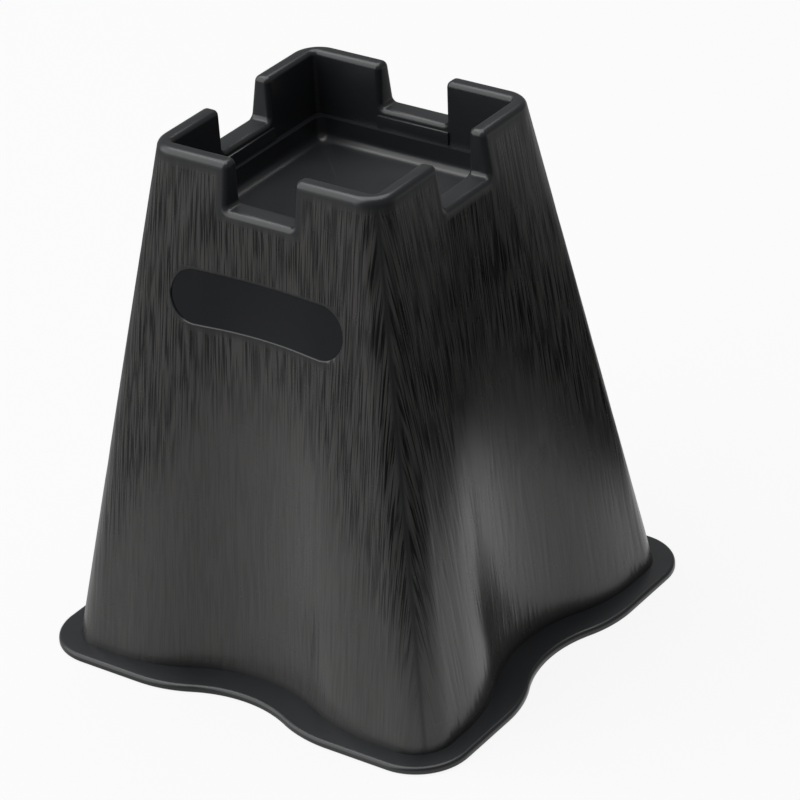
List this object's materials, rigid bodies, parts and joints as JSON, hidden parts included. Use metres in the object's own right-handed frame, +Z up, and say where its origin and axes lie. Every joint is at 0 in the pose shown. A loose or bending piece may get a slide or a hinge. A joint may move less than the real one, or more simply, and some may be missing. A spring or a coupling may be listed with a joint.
{
  "type": "bed riser",
  "caption": "Hollow tapered plastic bed riser with a wavy flanged foot, a square socket on top for a bed leg and notches in its rim for a bed rail.",
  "frame": {"origin": "on the floor, under the middle of the part", "axes": "+Z up, from the foot to the rim; -Y is the face with the bare panel; +X and +Y point at the middles of two other faces"},
  "size_m": [0.15, 0.15, 0.168],
  "materials": {
    "black_plastic": "satin black polypropylene, smooth on the rim, socket, flange and panel, with a fine upright embossed wood grain on the outer walls"
  },
  "bodies": {
    "root": {"riser_body": "black_plastic"}
  },
  "joints": []
}
